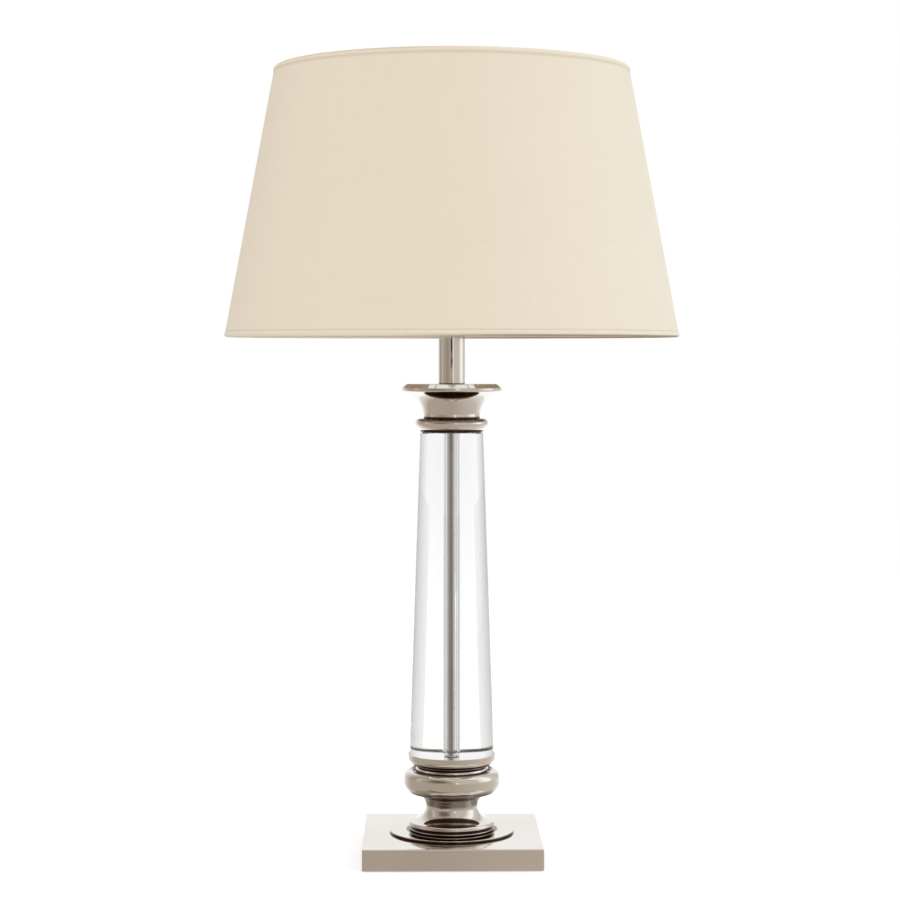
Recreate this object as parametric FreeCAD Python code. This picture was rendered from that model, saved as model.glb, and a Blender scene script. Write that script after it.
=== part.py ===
import FreeCAD, Part
import math
import os

# Candlestick lamp: a tapered crystal column on a stepped, polished base, with
# a conical fabric shade.  Millimetres, +Z up, the front looks along -Y, and
# the origin is on the floor under the column's axis.

# ---- plinth, its weight and its underside ----
plinth_side = 176.0
plinth_height = 21.5            # floor to the plinth's top face
plinth_wall = 2.5
plinth_roof = 2.5
plinth_edge = 1.4               # rounding of the outer edges
casing_lift = 0.8               # lower edge of the casing above the floor
felt_thickness = 2.0
cover_thickness = 1.8
cover_gap = 0.4                 # cover and felt to the casing's walls
weight_gap = 15.5               # weight to the casing's walls
weight_lift = 2.7               # weight above the cover
weight_recess_gap = 4.0         # recess round the washer
cable_groove_width = 8.0

screw_radius = 1.5
screw_length = 10.0
screw_head_radius = 2.8
screw_head_height = 1.4
screw_slot_width = 0.8
screw_slot_depth = 0.7
boss_radius = 4.0
boss_inset = 10.5               # boss axis to the casing's walls

grommet_bore_radius = 3.2
grommet_neck_radius = 4.2
grommet_flange_radius = 5.6
grommet_flange = 1.5
grommet_edge = 0.5              # bevel of the flanges

# ---- the rod that clamps the whole stack ----
rod_radius = 4.0
rod_wall = 1.5
rod_end = 1.0                   # rod shows this far past its nut
nut_wall = 2.0                  # thread to the flats
base_nut_height = 3.5
base_washer_width = 7.0
base_washer_thickness = 1.5
nut_recess_spare = 0.2

# ---- turned base: two discs, pedestal, bead and cup ----
base_disc_radius = 62.2
base_disc_thickness = 2.4
base_disc_edge = 0.7
step_disc_inset = 1.0           # its bead behind the pedestal's foot
step_disc_bead = 2.3            # height of the bead at its edge
step_disc_neck = 1.3            # height of the neck above the bead
step_neck_inset = 2.3           # neck behind the bead
step_disc_bulge = 0.7           # how far the bead's edge bulges

pedestal_foot_radius = 43.4
pedestal_foot_height = 5.4      # underside up to where the cove starts
pedestal_foot_slant = 1.6       # slanted underside of the foot
pedestal_foot_bevel = 0.4
pedestal_foot_bulge = 1.2       # slant up to the foot's widest level
pedestal_foot_ledge = 1.4       # widest level in to the cove's start
pedestal_waist_radius = 26.0
pedestal_waist_height = 18.5
cove_reach = 0.21               # share of the spread at the lower cove's middle
cove_turn = 0.46                # share of its height there
hollow_reach = 0.21             # the same for the hollow under the lip
hollow_turn = 0.66
pedestal_lip_inset = 5.8        # lower lip behind the widest ring
pedestal_lip_height = 34.6
pedestal_lip_face = 4.4         # width of the lip's underside
pedestal_lip_drop = 1.0         # its inner edge below the lip
pedestal_lip_edge = 0.6         # size of the lip's rounded nose
pedestal_lip_nose = 1.6         # height of the nose
pedestal_crest_width = 3.0      # bead's seat out to the shoulder
pedestal_torus_height = 45.3    # foot to the widest level
pedestal_torus_inset = 1.4      # middle of the lower flank behind the widest ring
pedestal_shoulder = 8.0         # rounding of the upper shoulder
pedestal_crest_height = 57.0
pedestal_bore_radius = 17.0
pedestal_top_wall = 6.0
bead_seat_depth = 3.5
bead_seat_gap = 0.8
bead_seat_hollow = 0.6          # hollow of the slope down to the seat
bead_seat_turn = 0.35           # share of the depth at the hollow's middle

base_bead_radius = 36.4
base_bead_height = 6.9
base_bead_bulge = 1.6
base_bead_step = 0.6            # small step on its top

cup_foot_inset = 1.0            # cup's foot behind the bead
cup_height = 12.4
cup_bowl_height = 7.6           # the rounded underside of the cup
cup_wall = 1.5
cup_depth = 2.6
cup_edge = 0.5
cup_bowl_reach = 0.64           # share of the spread at the bowl's middle
cup_bowl_turn = 0.42            # share of the height at the bowl's middle

# ---- crystal column and what it stands between ----
column_height = 322.4
column_foot_radius = 42.2
column_top_radius = 31.3
column_bevel = 0.6
column_gap = 0.3                # column's foot to the cup's wall
gasket_thickness = 0.8
gasket_inset = 2.2              # gasket's edge inside the column's edge
gasket_bore_gap = 1.0           # gasket's bore to the column's bore
centre_tube_gap = 0.2           # rod to the tube's bore
centre_tube_wall = 0.8
column_bore_gap = 1.0           # tube to the column's bore

# ---- capital and neck ----
capital_bead_radius = 36.4
capital_bead_height = 13.2
capital_bead_top_radius = 33.0
capital_bead_foot = 1.8         # straight foot of the bead
capital_bead_edge = 0.4         # bevel at its foot and top
capital_bead_waist = 0.29       # share of the height at the flare's middle
capital_bead_flare = 0.50       # share of the height where the flare ends
capital_bead_wide = 0.66        # share of the height at the widest level
capital_bead_ledge = 0.5        # flare's end behind the widest level
capital_neck_radius = 28.1
capital_neck_height = 4.6
capital_height = 34.5
capital_rim_radius = 49.9
capital_top_radius = 45.0
capital_rim_drop = 4.1          # top face down to the rim's upper edge
capital_rim_height = 3.6
capital_rim_return = 3.8        # rim's underside, inwards
capital_rim_face = 2.0          # flat underside of the rim
capital_rim_edge = 0.5          # rounding of the rim's lower edge
capital_rim_nose = 2.2          # height of that rounding
capital_rim_lap = 0.4           # hollow side's end below the rim
capital_top_edge = 0.5          # bevel of the top face
capital_hollow_reach = 0.285    # share of the flare at the hollow's middle
capital_hollow_turn = 0.555     # share of the height at the hollow's middle
capital_bore_radius = 18.0
capital_top_wall = 8.0
neck_radius = 13.25
neck_bore_radius = 12.0
neck_length = 63.4
neck_seat_depth = 1.5
bush_flange = 2.0
bush_spigot = 6.0
bush_edge = 0.5

# ---- lampholder ----
holder_shell_gap = 0.95         # screw shell to the holder's shell
holder_shell_wall = 4.4
holder_cap_height = 23.0
holder_cap_wall = 1.8
holder_cap_floor = 2.4
holder_cap_shoulder = 8.0       # floor to the straight side
holder_cap_foot_inset = 0.8     # its foot behind the neck's side
holder_cap_round = 1.9          # side in to the shoulder's middle
holder_cap_rise = 3.2           # height of the shoulder's middle
holder_cap_cone = 2.4           # floor up to the inner shoulder's middle
holder_cap_slope = 1.4          # inner side in to the shoulder's middle
holder_cap_floor_inset = 2.0
holder_cap_step = 1.2
holder_ledge = 1.4
holder_nut_height = 3.0
insulator_thickness = 5.5
wire_hole_radius = 1.4
wire_hole_place = 10.5          # wire holes to the axis
holder_shell_height = 34.0
holder_flange_radius = 25.0
holder_flange_thickness = 2.0
holder_flange_lift = 1.5
holder_thread_depth = 0.5
holder_thread_pitch = 2.5
holder_mouth_edge = 1.0
screw_shell_gap = 0.55          # bulb's thread to the screw shell
screw_shell_wall = 0.5
screw_shell_height = 23.0
screw_shell_eye_radius = 7.0
contact_width = 5.0
contact_half_span = 4.0
contact_rise = 2.2
contact_thickness = 0.5
contact_foot = 1.5              # flat foot at each end of the strip

switch_bar_radius = 2.3
switch_bar_length = 48.0
switch_bar_offset = 2.0
switch_block_length = 18.0
switch_block_width = 12.0
switch_block_height = 8.0
switch_bar_drop = 4.0           # insulator's underside down to the bar's axis
switch_bar_round = 0.9          # rounding of the bar's ends

# ---- shade and its ring ----
ring_radius = 25.6
ring_height = 8.0
ring_gap = 0.3                  # ring's bore to the thread's crests
ring_grips = 18
ring_grip_radius = 1.3
ring_grip_offset = 0.65         # groove's axis outside the ring's side
ring_lower_edge = 0.6
ring_upper_edge = 1.2
hub_radius = 29.0
hub_gap = 0.5                   # hub's bore to the thread's crests
hub_thickness = 1.6
arm_count = 3
arm_radius = 1.8
arm_start = 1.6                 # arm's end inside the hub's rim
wire_radius = 1.75
shade_bottom_radius = 225.0
shade_top_radius = 176.0
shade_height = 265.0
shade_drop = 44.5               # hub's underside down to the shade's hem
shade_wall = 1.0
hem_wall = 0.8
hem_proud = 0.7                 # hem stands proud of the cloth
panel_turn = 20.0               # seams, behind the shade's widest points (degrees)
panel_gap = 0.1                 # seam between the two panels
wire_gap = 0.4
arm_slot_gap = 0.3

# ---- bulb ----
bulb_cap_radius = 13.2
bulb_cap_height = 25.0
bulb_tip_height = 0.8
bulb_collar_height = 2.6
bulb_thread_start = 4.5         # tip up to the first crest
bulb_thread_lead = 0.6
bulb_skirt_height = 3.0
bulb_cap_gap = 0.3
bulb_tip_radius = 4.5
bulb_collar_radius = 8.5
bulb_thread_depth = 0.7
bulb_thread_pitch = 3.6
bulb_neck_flare = 0.4           # glass neck outside the cap's thread
bulb_meet_angle = -38.0         # where the flank meets the globe (degrees)
bulb_flank_reach = 0.38         # share of the spread at the flank's middle
bulb_flank_turn = 0.56          # share of the height at the flank's middle
bulb_globe_radius = 30.0
bulb_length = 107.0
bulb_glass_wall = 0.9

# ---- named clearances ----
rod_gap = 0.2                   # rod through a plain hole
thread_gap = 0.05               # rod or screw in its thread
slide_gap = 0.3                 # sliding or loosely seated round fits
press_gap = 0.05                # round parts pushed together
same_place = 0.01               # two places nearer than this are one

# ---- levels, floor upwards ----
cover_bottom = felt_thickness
cover_top = cover_bottom + cover_thickness
roof_under = plinth_height - plinth_roof
weight_bottom = cover_top + weight_lift
nut_recess = base_nut_height + base_washer_thickness + nut_recess_spare
washer_top = weight_bottom + nut_recess
nut_top = washer_top - base_washer_thickness
rod_bottom = nut_top - base_nut_height - rod_end
inlet_level = (cover_top + roof_under) / 2
disc_top = plinth_height + base_disc_thickness
step_top = disc_top + step_disc_bead + step_disc_neck
crest_level = step_top + pedestal_crest_height
bead_bottom = crest_level - bead_seat_depth
bead_top = bead_bottom + base_bead_height
cup_top = bead_top + cup_height
cup_floor = cup_top - cup_depth
column_bottom = cup_floor + gasket_thickness
column_top = column_bottom + column_height
capital_bead_bottom = column_top + gasket_thickness
capital_bottom = capital_bead_bottom + capital_bead_height
capital_top = capital_bottom + capital_height
neck_bottom = capital_top - neck_seat_depth
neck_top = neck_bottom + neck_length
holder_bottom = neck_top + bush_flange
holder_joint = holder_bottom + holder_cap_height
insulator_bottom = holder_joint - insulator_thickness
switch_level = insulator_bottom - switch_bar_drop
rod_top = holder_bottom + holder_cap_floor + holder_nut_height + rod_end
flange_bottom = holder_joint + holder_flange_lift
hub_bottom = flange_bottom + holder_flange_thickness
hub_top = hub_bottom + hub_thickness
holder_top = holder_joint + holder_shell_height
shade_bottom = hub_bottom - shade_drop
shade_top = shade_bottom + shade_height
bulb_tip = holder_joint + contact_thickness + contact_rise + bulb_cap_gap

# ---- sizes that follow from the ones above ----
inner_side = plinth_side - 2 * plinth_wall
cover_side = inner_side - 2 * cover_gap
weight_side = inner_side - 2 * weight_gap
boss_place = inner_side / 2 - boss_inset
rod_hole_radius = rod_radius + rod_gap
thread_hole_radius = rod_radius + thread_gap
nut_flats = 2 * (rod_radius + nut_wall)
base_washer_radius = rod_radius + base_washer_width
weight_recess_radius = base_washer_radius + weight_recess_gap
step_disc_radius = pedestal_foot_radius - step_disc_inset
step_neck_radius = step_disc_radius - step_neck_inset
bead_seat_radius = base_bead_radius + bead_seat_gap
pedestal_crest_radius = bead_seat_radius + pedestal_crest_width
pedestal_torus_radius = pedestal_crest_radius + pedestal_shoulder
pedestal_lip_radius = pedestal_torus_radius - pedestal_lip_inset
cup_foot_radius = base_bead_radius - cup_foot_inset
cup_seat_radius = column_foot_radius + column_gap
cup_radius = cup_seat_radius + cup_wall
centre_tube_bore_radius = rod_radius + centre_tube_gap
centre_tube_radius = centre_tube_bore_radius + centre_tube_wall
column_bore_radius = centre_tube_radius + column_bore_gap
screw_shell_radius = bulb_cap_radius + screw_shell_gap + screw_shell_wall
holder_bore_radius = screw_shell_radius + holder_shell_gap
holder_radius = holder_bore_radius + holder_shell_wall
bulb_neck_radius = bulb_cap_radius + bulb_neck_flare
roll_radius = wire_radius + wire_gap + hem_wall
lower_wire_radius = shade_bottom_radius - roll_radius
upper_wire_radius = shade_top_radius - roll_radius
lower_wire_level = shade_bottom + roll_radius
upper_wire_level = shade_top - roll_radius

X = FreeCAD.Vector(1, 0, 0)
Y = FreeCAD.Vector(0, 1, 0)
Z = FreeCAD.Vector(0, 0, 1)
centre = FreeCAD.Vector(0, 0, 0)
half_root = math.sqrt(0.5)


def point(radius, level):
    return FreeCAD.Vector(radius, 0, level)


def outline(steps):
    """A closed face in the XZ plane.  The first step is a (radius, level) point.
    A later step is such a point, reached by a straight line, or a pair of
    points: one on an arc and the arc's end."""
    here = steps[0]
    edges = []
    for step in steps[1:]:
        if isinstance(step[0], tuple):
            through, end = step
            edges.append(Part.Arc(point(*here), point(*through), point(*end)).toShape())
        else:
            end = step
            edges.append(Part.LineSegment(point(*here), point(*end)).toShape())
        here = end
    if here != steps[0]:
        edges.append(Part.LineSegment(point(*here), point(*steps[0])).toShape())
    return Part.Face(Part.Wire(edges))


def turned(steps):
    """The outline turned about the lamp's axis."""
    return outline(steps).revolve(centre, Z, 360)


def rod_between(start, end, radius):
    """A round bar from one point to another."""
    run = end - start
    return Part.makeCylinder(radius, run.Length, start, run)


def slab(side, bottom, top):
    """A square plate centred on the axis."""
    corner = FreeCAD.Vector(-side / 2, -side / 2, bottom)
    return Part.makeBox(side, side, top - bottom, corner)


def washer(radius, bore, bottom, top):
    """A flat ring."""
    return turned([(bore, bottom), (radius, bottom), (radius, top), (bore, top)])


def hexagon_nut(flats, bore, bottom, height):
    """A six-sided nut with a plain bore at thread size."""
    reach = flats / math.sqrt(3)
    corners = [FreeCAD.Vector(reach * math.cos(math.radians(60 * k)),
                              reach * math.sin(math.radians(60 * k)), bottom)
               for k in range(7)]
    block = Part.Face(Part.makePolygon(corners)).extrude(Z * height)
    return block.cut(Part.makeCylinder(bore, height, FreeCAD.Vector(0, 0, bottom)))


def around(shape, count, first=0.0):
    """Equal copies of a shape about the lamp's axis."""
    copies = []
    for k in range(count):
        copy = shape.copy()
        copy.rotate(centre, Z, first + 360.0 * k / count)
        copies.append(copy)
    return copies


def at_corners(shape):
    """Four copies, one at each boss of the casing."""
    copies = []
    for side_x in (-1, 1):
        for side_y in (-1, 1):
            copy = shape.copy()
            copy.translate(FreeCAD.Vector(side_x * boss_place, side_y * boss_place, 0))
            copies.append(copy)
    return copies


def ridged(start, end, crest, root, pitch):
    """The steps of a ridged side between two levels, crest and root in turn."""
    count = max(1, int((end - start) / pitch))
    span = (end - start) / count
    steps = []
    for k in range(count):
        low = start + k * span
        steps.append(((root, low + span / 2), (crest, low + span)))
    return steps


# ---- plinth ----
def plinth():
    casing = slab(plinth_side, casing_lift, plinth_height)
    rounded = [edge for edge in casing.Edges
               if edge.CenterOfMass.z > casing_lift + same_place]
    casing = casing.makeFillet(plinth_edge, rounded)
    casing = casing.cut(slab(inner_side, 0, roof_under))
    boss = Part.makeCylinder(boss_radius, plinth_height - cover_top - plinth_roof / 2,
                             FreeCAD.Vector(0, 0, cover_top))
    casing = casing.fuse(at_corners(boss))
    pilot = Part.makeCylinder(screw_radius + thread_gap, screw_length,
                              FreeCAD.Vector(0, 0, cover_bottom))
    rod_hole = Part.makeCylinder(rod_hole_radius, plinth_height)
    inlet = Part.makeCylinder(grommet_neck_radius + press_gap, 2 * plinth_wall,
                              FreeCAD.Vector(0, inner_side / 2 - plinth_wall / 2, inlet_level), Y)
    return casing.cut(at_corners(pilot) + [rod_hole, inlet]).removeSplitter()


def base_weight():
    block = slab(weight_side, weight_bottom, roof_under)
    recess = Part.makeCylinder(weight_recess_radius, nut_recess,
                               FreeCAD.Vector(0, 0, weight_bottom))
    rod_hole = Part.makeCylinder(rod_hole_radius, plinth_height)
    groove = Part.makeBox(cable_groove_width, weight_side, nut_recess,
                          FreeCAD.Vector(-cable_groove_width / 2, 0, weight_bottom))
    return block.cut([recess, rod_hole, groove])


def bottom_cover():
    plate = slab(cover_side, cover_bottom, cover_top)
    spread = screw_head_radius - screw_radius
    hole = Part.makeCylinder(screw_radius + slide_gap, cover_top)
    sink = Part.makeCone(screw_head_radius + slide_gap, screw_head_radius + slide_gap - spread,
                         screw_head_height, FreeCAD.Vector(0, 0, cover_bottom))
    return plate.cut(at_corners(hole.fuse(sink)))


def cover_screws():
    shank = Part.makeCylinder(screw_radius, screw_length, FreeCAD.Vector(0, 0, cover_bottom))
    head = Part.makeCone(screw_head_radius, screw_radius, screw_head_height,
                         FreeCAD.Vector(0, 0, cover_bottom))
    slot = Part.makeBox(2 * screw_head_radius, screw_slot_width, screw_slot_depth,
                        FreeCAD.Vector(-screw_head_radius, -screw_slot_width / 2, cover_bottom))
    return Part.Compound(at_corners(shank.fuse(head).cut(slot)))


def felt_pad():
    return slab(cover_side, 0, felt_thickness)


def cable_grommet():
    inner = inner_side / 2 - grommet_flange
    outer = plinth_side / 2 + grommet_flange
    low = grommet_flange_radius - grommet_edge
    steps = [(grommet_bore_radius, inner), (low, inner),
             (grommet_flange_radius, inner + grommet_edge), (grommet_flange_radius, inner_side / 2),
             (grommet_neck_radius, inner_side / 2), (grommet_neck_radius, plinth_side / 2),
             (grommet_flange_radius, plinth_side / 2), (grommet_flange_radius, outer - grommet_edge),
             (low, outer), (grommet_bore_radius, outer)]
    ring = turned(steps)
    ring.rotate(centre, X, -90)
    ring.translate(FreeCAD.Vector(0, 0, inlet_level))
    return ring


# ---- rod and its fasteners ----
def threaded_rod():
    return washer(rod_radius, rod_radius - rod_wall, rod_bottom, rod_top)


def base_washer():
    return washer(base_washer_radius, rod_hole_radius, nut_top, washer_top)


def base_nut():
    return hexagon_nut(nut_flats, thread_hole_radius, nut_top - base_nut_height,
                       base_nut_height)


def holder_nut():
    return hexagon_nut(nut_flats, thread_hole_radius, holder_bottom + holder_cap_floor,
                       holder_nut_height)


# ---- turned base ----
def base_disc():
    radius = base_disc_radius
    edge = base_disc_edge
    soft = edge * (1 - half_root)
    return turned([
        (rod_hole_radius, plinth_height), (radius - edge / 2, plinth_height),
        (radius, plinth_height + edge / 2), (radius, disc_top - edge),
        ((radius - soft, disc_top - soft), (radius - edge, disc_top)),
        (rod_hole_radius, disc_top)])


def step_disc():
    bead_end = disc_top + step_disc_bead
    inner = step_disc_radius - step_disc_bulge
    return turned([
        (rod_hole_radius, disc_top), (inner, disc_top),
        ((step_disc_radius, disc_top + step_disc_bead / 2), (inner, bead_end)),
        (step_neck_radius, bead_end), (step_neck_radius, step_top),
        (rod_hole_radius, step_top)])


def pedestal():
    foot = step_top
    slant = foot + pedestal_foot_slant
    cove = foot + pedestal_foot_height
    waist = foot + pedestal_waist_height
    lip = foot + pedestal_lip_height
    wide = foot + pedestal_torus_height
    crest = crest_level
    shoulder = pedestal_shoulder
    waist_radius = pedestal_waist_radius
    lip_radius = pedestal_lip_radius
    torus_radius = pedestal_torus_radius
    crest_radius = pedestal_crest_radius
    seat_radius = bead_seat_radius
    ledge_radius = pedestal_foot_radius - pedestal_foot_ledge
    edge = pedestal_lip_edge
    return turned([
        (pedestal_bore_radius, foot), (step_neck_radius, foot),
        (pedestal_foot_radius - pedestal_foot_bevel, slant),
        ((pedestal_foot_radius, slant + pedestal_foot_bulge), (ledge_radius, cove)),
        ((waist_radius + (ledge_radius - waist_radius) * cove_reach,
          cove + (waist - cove) * cove_turn), (waist_radius, waist)),
        ((waist_radius + (lip_radius - waist_radius) * hollow_reach,
          waist + (lip - waist) * hollow_turn),
         (lip_radius - pedestal_lip_face, lip - pedestal_lip_drop)),
        (lip_radius - edge, lip - edge),
        ((lip_radius + edge, lip + edge), (lip_radius + 2 * edge, lip + pedestal_lip_nose)),
        ((torus_radius - pedestal_torus_inset, (lip + wide) / 2), (torus_radius, wide)),
        (torus_radius, crest - shoulder),
        ((crest_radius + shoulder * half_root, crest - shoulder * (1 - half_root)),
         (crest_radius, crest)),
        (((crest_radius + seat_radius) / 2 - bead_seat_hollow,
          crest - bead_seat_depth * bead_seat_turn), (seat_radius, bead_bottom)),
        (rod_hole_radius, bead_bottom),
        (rod_hole_radius, crest - bead_seat_depth - pedestal_top_wall),
        (pedestal_bore_radius, crest - bead_seat_depth - pedestal_top_wall)])


def base_bead():
    half = base_bead_height / 2
    inner = base_bead_radius - base_bead_bulge
    step = base_bead_step
    return turned([
        (rod_hole_radius, bead_bottom), (inner, bead_bottom),
        ((base_bead_radius, bead_bottom + half), (inner, bead_top - step)),
        (inner - step, bead_top - step), (inner - step, bead_top),
        (rod_hole_radius, bead_top)])


def glass_cup():
    bowl_top = bead_top + cup_bowl_height
    reach = cup_radius - cup_foot_radius
    return turned([
        (rod_hole_radius, bead_top), (cup_foot_radius, bead_top),
        ((cup_foot_radius + reach * cup_bowl_reach,
          bead_top + cup_bowl_height * cup_bowl_turn), (cup_radius, bowl_top)),
        (cup_radius, cup_top - cup_edge),
        ((cup_radius - cup_edge * (1 - half_root), cup_top - cup_edge * (1 - half_root)),
         (cup_radius - cup_edge, cup_top)),
        (cup_seat_radius, cup_top), (cup_seat_radius, cup_floor),
        (rod_hole_radius, cup_floor)])


# ---- column ----
def lower_gasket():
    return washer(column_foot_radius - gasket_inset, column_bore_radius + gasket_bore_gap,
                  cup_floor, column_bottom)


def upper_gasket():
    return washer(column_top_radius - gasket_inset, column_bore_radius + gasket_bore_gap,
                  column_top, capital_bead_bottom)


def crystal_column():
    bevel = column_bevel
    return turned([
        (column_bore_radius + bevel, column_bottom),
        (column_foot_radius - bevel, column_bottom),
        (column_foot_radius, column_bottom + bevel),
        (column_top_radius, column_top - bevel),
        (column_top_radius - bevel, column_top),
        (column_bore_radius + bevel, column_top),
        (column_bore_radius, column_top - bevel),
        (column_bore_radius, column_bottom + bevel)])


def centre_tube():
    return washer(centre_tube_radius, centre_tube_bore_radius, cup_floor,
                  capital_bead_bottom)


# ---- capital and neck ----
def capital_bead():
    foot = capital_bead_bottom
    edge = capital_bead_edge
    height = capital_bead_height
    reach = capital_bead_radius - column_top_radius
    top = capital_bottom
    return turned([
        (rod_hole_radius, foot), (column_top_radius - edge, foot),
        (column_top_radius, foot + edge), (column_top_radius, foot + capital_bead_foot),
        ((column_top_radius + reach / 2, foot + height * capital_bead_waist),
         (capital_bead_radius - capital_bead_ledge, foot + height * capital_bead_flare)),
        ((capital_bead_radius, foot + height * capital_bead_wide),
         (capital_bead_top_radius, top - edge)),
        (capital_bead_top_radius - edge, top), (rod_hole_radius, top)])


def capital():
    foot = capital_bottom
    rim_top = capital_top - capital_rim_drop
    rim_low = rim_top - capital_rim_height
    neck_end = foot + capital_neck_height
    under = capital_rim_radius - capital_rim_return
    hollow_end = rim_low - capital_rim_lap
    edge = capital_top_edge
    seat = neck_radius + press_gap
    return turned([
        (capital_bore_radius, foot), (capital_neck_radius, foot),
        (capital_neck_radius, neck_end),
        ((capital_neck_radius + (under - capital_neck_radius) * capital_hollow_reach,
          neck_end + (hollow_end - neck_end) * capital_hollow_turn), (under, hollow_end)),
        (capital_rim_radius - capital_rim_face, rim_low),
        ((capital_rim_radius - capital_rim_edge, rim_low + capital_rim_edge),
         (capital_rim_radius, rim_low + capital_rim_nose)),
        (capital_rim_radius, rim_top),
        (capital_top_radius + edge, capital_top - edge / 2),
        (capital_top_radius - edge, capital_top),
        (seat, capital_top), (seat, neck_bottom), (rod_hole_radius, neck_bottom),
        (rod_hole_radius, capital_top - capital_top_wall),
        (capital_bore_radius, capital_top - capital_top_wall)])


def neck_tube():
    return washer(neck_radius, neck_bore_radius, neck_bottom, neck_top)


def neck_bush():
    spigot = neck_bore_radius - press_gap
    return turned([
        (thread_hole_radius, neck_top - bush_spigot), (spigot, neck_top - bush_spigot),
        (spigot, neck_top), (neck_radius, neck_top),
        (neck_radius, holder_bottom - bush_edge), (neck_radius - bush_edge, holder_bottom),
        (thread_hole_radius, holder_bottom)])


# ---- lampholder ----
def holder_cap():
    outer = holder_radius
    inner = outer - holder_cap_wall
    ledge = inner - holder_ledge
    floor = holder_bottom + holder_cap_floor
    shoulder = holder_bottom + holder_cap_shoulder
    foot = neck_radius - holder_cap_foot_inset
    shell = turned([
        (thread_hole_radius, holder_bottom), (foot, holder_bottom),
        ((outer - holder_cap_round, holder_bottom + holder_cap_rise), (outer, shoulder)),
        (outer, holder_joint), (inner, holder_joint), (inner, insulator_bottom),
        (ledge, insulator_bottom), (ledge, shoulder + holder_cap_step),
        ((ledge - holder_cap_slope, floor + holder_cap_cone),
         (foot - holder_cap_floor_inset, floor)),
        (thread_hole_radius, floor)])
    bar_hole = Part.makeCylinder(switch_bar_radius + slide_gap, 4 * outer,
                                 FreeCAD.Vector(-2 * outer, 0, switch_level), X)
    return shell.cut(bar_hole)


def holder_insulator():
    radius = holder_radius - holder_cap_wall - slide_gap
    disc = Part.makeCylinder(radius, insulator_thickness,
                             FreeCAD.Vector(0, 0, insulator_bottom))
    wire_hole = Part.makeCylinder(wire_hole_radius, insulator_thickness,
                                  FreeCAD.Vector(0, wire_hole_place, insulator_bottom))
    return disc.cut(around(wire_hole, 2))


def holder_shell():
    bore = holder_bore_radius
    thread_start = hub_top
    steps = [(bore, holder_joint), (holder_radius, holder_joint),
             (holder_radius, flange_bottom), (holder_flange_radius, flange_bottom),
             (holder_flange_radius, hub_bottom), (holder_radius, hub_bottom),
             (holder_radius, thread_start)]
    steps += ridged(thread_start, holder_top - holder_mouth_edge, holder_radius,
                    holder_radius - holder_thread_depth, holder_thread_pitch)
    steps += [(holder_radius - holder_mouth_edge, holder_top), (bore, holder_top)]
    return turned(steps)


def screw_shell():
    outer = screw_shell_radius
    inner = outer - screw_shell_wall
    top = holder_joint + screw_shell_height
    return turned([
        (screw_shell_eye_radius, holder_joint), (outer, holder_joint), (outer, top),
        (inner, top), (inner, holder_joint + screw_shell_wall),
        (screw_shell_eye_radius, holder_joint + screw_shell_wall)])


def centre_contact():
    span = contact_half_span
    end = span + contact_foot
    low = holder_joint
    high = low + contact_rise
    thick = contact_thickness
    strip = outline([
        (-end, low), (-span, low), ((0, high), (span, low)), (end, low),
        (end, low + thick), (span, low + thick),
        ((0, high + thick), (-span, low + thick)), (-end, low + thick)])
    bar = strip.extrude(Y * contact_width)
    bar.translate(FreeCAD.Vector(0, -contact_width / 2, 0))
    return bar


def switch_block():
    block = Part.makeBox(switch_block_length, switch_block_width, switch_block_height,
                         FreeCAD.Vector(-switch_block_length / 2, -switch_block_width / 2,
                                        insulator_bottom - switch_block_height))
    bore = Part.makeCylinder(switch_bar_radius + slide_gap, switch_block_length,
                             FreeCAD.Vector(-switch_block_length / 2, 0, switch_level), X)
    return block.cut(bore)


def switch_bar():
    start = switch_bar_offset - switch_bar_length / 2
    bar = Part.makeCylinder(switch_bar_radius, switch_bar_length,
                            FreeCAD.Vector(start, 0, switch_level), X)
    middle = start + switch_bar_length / 2
    ends = [edge for edge in bar.Edges
            if abs(edge.CenterOfMass.x - middle) > switch_bar_length / 2 - same_place]
    return bar.makeFillet(switch_bar_round, ends)


# ---- shade ----
def shade_ring():
    bore = holder_radius + ring_gap
    top = hub_top + ring_height
    ring = turned([
        (bore, hub_top), (ring_radius - ring_lower_edge, hub_top),
        (ring_radius, hub_top + ring_lower_edge), (ring_radius, top - ring_upper_edge),
        (ring_radius - ring_upper_edge, top), (bore, top)])
    grip = Part.makeCylinder(ring_grip_radius, 2 * ring_height,
                             FreeCAD.Vector(ring_radius + ring_grip_offset, 0,
                                            hub_top - ring_height / 2))
    return ring.cut(around(grip, ring_grips))


def arm_run(radius):
    """One arm of the frame, from the hub's rim down to the lower wire."""
    start = FreeCAD.Vector(hub_radius - arm_start, 0, hub_bottom + hub_thickness / 2)
    end = FreeCAD.Vector(lower_wire_radius, 0, lower_wire_level)
    return rod_between(start, end, radius)


def wire_loop(radius, level, section):
    return Part.makeTorus(radius, section, FreeCAD.Vector(0, 0, level))


def shade_hub():
    return washer(hub_radius, holder_radius + hub_gap, hub_bottom, hub_top)


def shade_lower_wire():
    return wire_loop(lower_wire_radius, lower_wire_level, wire_radius)


def shade_arms():
    bar = arm_run(arm_radius).cut([shade_hub(), shade_lower_wire()])
    longest = max(bar.Solids, key=lambda solid: solid.Volume)
    return Part.Compound(around(longest, arm_count, 90))


def shade_top_wire():
    return wire_loop(upper_wire_radius, upper_wire_level, wire_radius)


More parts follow.
